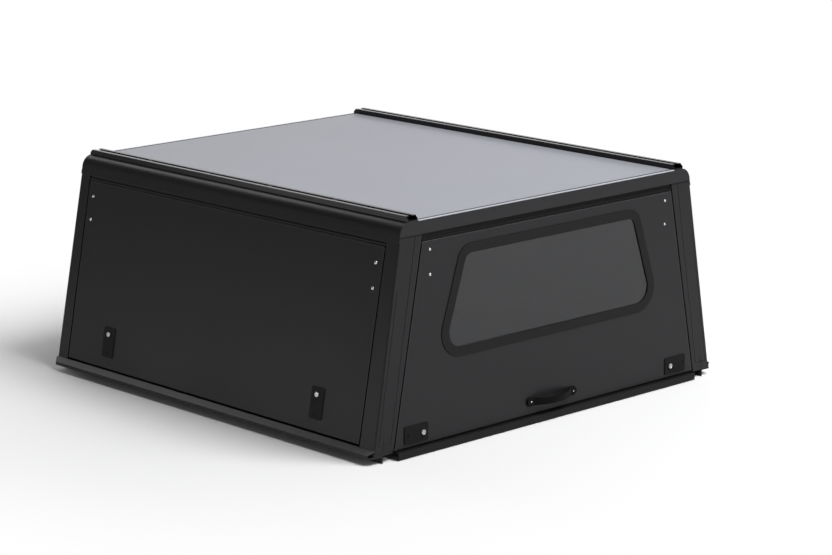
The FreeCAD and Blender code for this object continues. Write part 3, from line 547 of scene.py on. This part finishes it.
def lock_middle(name):
    """Middle of a lock plate along X and Y."""
    low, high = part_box(name)
    return (low.x + high.x) / 2, (low.y + high.y) / 2


def key_caps(door, spots):
    """The caps on one door's locks as one mesh."""
    caps = piece_of(door + "_key_caps", mesh_of(door + " key caps", set_on(cap, spots), nickel))
    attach(caps, door)


lock_proud = 0.003
barrel_from_middle = 0.028
side_lock_z = 0.143
rear_lock_z = 0.070
for hand, sign in (("left", -1), ("right", 1)):
    z = side_lock_z + barrel_from_middle * math.cos(side_lean)
    face = Vector((sign * side_x(z), 0, z)) + side_out[sign] * lock_proud
    lock_ys = [lock_middle(hand + "_door_lock_" + end)[1] for end in ("front", "rear")]
    key_caps(hand + "_door", [(face + Vector((0, y, 0)), side_out[sign]) for y in lock_ys])
face = Vector((0, rear_y(rear_lock_z), rear_lock_z)) + rear_out * lock_proud
lock_xs = [lock_middle("rear_door_lock_" + hand)[0] + inward * barrel_from_middle
           for hand, inward in (("left", 1), ("right", -1))]
key_caps("rear_door", [(face + Vector((x, 0, 0)), rear_out) for x in lock_xs])
bpy.data.meshes.remove(cap)

# Bolts and screws: stainless steel button heads with a hexagon socket, which show as small bright points.
# They are the same on all doors, set by Geometry Nodes at their points, each turned at random in its hole.
stainless = metal("stainless steel", "#ececea", "#f4f4f2", 0.2, 0.9)
# The last two rings are the socket, with six flats.
head_rings = [(0.0069, 0.0000, 24), (0.0070, 0.0009, 24), (0.0066, 0.0025, 24), (0.0059, 0.0036, 24),
              (0.0050, 0.0043, 24), (0.0041, 0.0046, 24), (0.0030, 0.0047, 24), (0.0020, 0.0047, 24, 6),
              (0.0020, 0.0027, 24, 6)]
head = piece_of("button head", mesh_of("button head", turned(head_rings), stainless))

bolting = bpy.data.node_groups.new("bolts on points", "GeometryNodeTree")
bolting.is_modifier = True
bolting.interface.new_socket("Points", in_out="INPUT", socket_type="NodeSocketGeometry")
head_socket = bolting.interface.new_socket("Head", in_out="INPUT", socket_type="NodeSocketObject")
metal_socket = bolting.interface.new_socket("Metal", in_out="INPUT", socket_type="NodeSocketMaterial")
seed_socket = bolting.interface.new_socket("Seed", in_out="INPUT", socket_type="NodeSocketInt")
bolting.interface.new_socket("Bolts", in_out="OUTPUT", socket_type="NodeSocketGeometry")
given = add(bolting, "NodeGroupInput")
shape = add(bolting, "GeometryNodeObjectInfo", {"Object": given.outputs["Head"]})
out = add(bolting, "GeometryNodeInputNamedAttribute", {"Name": "outward"}, data_type="FLOAT_VECTOR")
size = add(bolting, "GeometryNodeInputNamedAttribute", {"Name": "size"}, data_type="FLOAT")
spin = add(bolting, "FunctionNodeRandomValue", {"Seed": given.outputs["Seed"], 2: 0.0, 3: math.tau})
about = add(bolting, "FunctionNodeAxisAngleToRotation", {"Axis": (0, 0, 1), "Angle": spin.outputs[1]})
stand = add(bolting, "FunctionNodeAlignRotationToVector", {"Rotation": about.outputs[0], "Vector": out.outputs[0]},
            axis="Z")
placed = add(bolting, "GeometryNodeInstanceOnPoints", {"Points": given.outputs["Points"],
                                                       "Instance": shape.outputs["Geometry"],
                                                       "Rotation": stand.outputs[0], "Scale": size.outputs[0]})
real = add(bolting, "GeometryNodeRealizeInstances", {"Geometry": placed.outputs[0]})
steel = add(bolting, "GeometryNodeSetMaterial", {"Geometry": real.outputs[0], "Material": given.outputs["Metal"]})
bolting.links.new(steel.outputs[0], add(bolting, "NodeGroupOutput").inputs[0])


def bolts(name, body, seed, spots, kind=head, finish=stainless):
    """The bolts of one body as one mesh. A spot is a foot, an outward direction and a size."""
    data = bpy.data.meshes.new(name)
    data.from_pydata([foot for foot, _, _ in spots], [], [])
    data.attributes.new("outward", "FLOAT_VECTOR", "POINT")
    data.attributes.new("size", "FLOAT", "POINT")
    for i, (_, way, factor) in enumerate(spots):
        data.attributes["outward"].data[i].vector = way
        data.attributes["size"].data[i].value = factor
    made = piece_of(name, data)
    modifier = made.modifiers.new("bolts", "NODES")
    modifier.node_group = bolting
    modifier[head_socket.identifier] = kind
    modifier[metal_socket.identifier] = finish
    modifier[seed_socket.identifier] = seed
    graph = bpy.context.evaluated_depsgraph_get()
    final = bpy.data.meshes.new_from_object(made.evaluated_get(graph))
    made.modifiers.clear()
    made.data = final
    bpy.data.meshes.remove(data)
    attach(made, body)


side_bolt_size = 0.82
side_bolts = ((-0.698, 0.617), (-0.698, 0.538), (0.732, 0.620), (0.732, 0.540))
for hand, sign, seed in (("left", -1, 3), ("right", 1, 5)):
    spots = [((sign * side_x(z), y, z), side_out[sign], side_bolt_size) for y, z in side_bolts]
    bolts(hand + "_door_bolts", hand + "_door", seed, spots)
rear_bolt_size = 0.66
rear_spots = [((x, rear_y(z), z), rear_out, rear_bolt_size) for x in (-0.556, 0.556) for z in (0.652, 0.5715)]

# Pull handle: a bow moulded in one piece of black nylon with a fine grain, with a wide flat strap to hook
# the fingers under and round feet, each held by one screw. The screws and the rear door's bolts are one
# mesh.
handle_z = 0.074
handle_half = 0.118
foot_r = 0.016
foot_thick = 0.007
strap_half = 0.0135
strap_thick = 0.011
handle_reach = 0.038
bow_half = 0.086
bow_fullness = 2.4
foot_from, foot_over = 0.07, 0.032
tip_gap = 0.0004
handle_rings = 61
handle_sides = 28
edge_squareness = 0.55
screw_x = 0.101
screw_size = 0.43
handle_plastic = moulded("black moulded nylon, fine grain", "#0e0e0e", "#131313", 0.5, 0.5)


def handle_section(u):
    """Half height, half thickness and middle height above the door, of the handle at a place along it."""
    bow = 1 - min(abs(u) / bow_half, 1.0) ** bow_fullness
    half = strap_half + (foot_r - strap_half) * max(0.0, (abs(u) - foot_from) / foot_over)
    if abs(u) > handle_half - foot_r:
        half = math.sqrt(max(foot_r ** 2 - (abs(u) - handle_half + foot_r) ** 2, 0.0))
    thick = foot_thick / 2 + (strap_thick - foot_thick) / 2 * bow
    return half, thick, thick + (handle_reach - strap_thick) * bow


handle_foot = Vector((0, rear_y(handle_z), handle_z))
bow = bmesh.new()
loops = []
for i in range(handle_rings):
    u = -(handle_half - tip_gap) * math.cos(math.pi * i / (handle_rings - 1))
    half, thick, middle = handle_section(u)
    loop = []
    for k in range(handle_sides):
        angle = 2 * math.pi * k / handle_sides
        c, s = math.cos(angle), math.sin(angle)
        away = middle + thick * math.copysign(abs(c) ** edge_squareness, c)
        rise = half * math.copysign(abs(s) ** edge_squareness, s)
        loop.append(bow.verts.new(handle_foot + rear_out * away + Vector((u, 0, rise))))
    loops.append(loop)
for low, high in zip(loops, loops[1:]):
    for k in range(handle_sides):
        j = (k + 1) % handle_sides
        bow.faces.new((low[k], low[j], high[j], high[k]))
bow.faces.new(loops[0])
bow.faces.new(reversed(loops[-1]))
bmesh.ops.recalc_face_normals(bow, faces=bow.faces)
handle = piece_of("pull_handle_bow", mesh_of("pull handle", bow, handle_plastic))
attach(handle, "rear_door")
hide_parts("rear_door_pull_handle")
foot_top = handle_foot + rear_out * (foot_thick - 0.0004)
rear_spots += [(foot_top + Vector((x, 0, 0)), rear_out, screw_size) for x in (-screw_x, screw_x)]
bolts("rear_door_bolts", "rear_door", 7, rear_spots)

# Roof track screws: four cap screws hold each track down, their heads standing in its slot. They are
# steel with a black passivated skin, which leaves a faint dark gleam.
screw_black = metal("black passivated steel", "#1b1b1c", "#252526", 0.4, 1.2)
screw_rings = [(0.0070, 0.0000, 24), (0.0070, 0.0118, 24), (0.0064, 0.0126, 24), (0.0036, 0.0126, 24),
               (0.0034, 0.0126, 24, 6), (0.0034, 0.0086, 24, 6)]
cap_screw = piece_of("cap screw", mesh_of("cap screw", turned(screw_rings), screw_black))
slot_floor = 0.7546
screw_rows = []
for hand in ("left", "right"):
    low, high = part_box(hand + "_roof_track")
    screw_rows += [(((low.x + high.x) / 2, y, slot_floor), (0, 0, 1), 1.0) for y in (0.505, 0.194, -0.117, -0.428)]
bolts("roof_track_screws", "frame", 13, screw_rows, cap_screw, screw_black)

# Hold-down bolts: the same stainless button heads, in the holes of the side base rails. They clamp the
# canopy to the tub's rails.
hold_downs = [((x, y, 0.025), (0, 0, 1), 1.0) for x in (-0.7826, 0.7826) for y in (-0.58135, 0.61865)]
bolts("hold_down_bolts", "frame", 11, hold_downs)
bpy.data.objects.remove(head)
bpy.data.objects.remove(cap_screw)
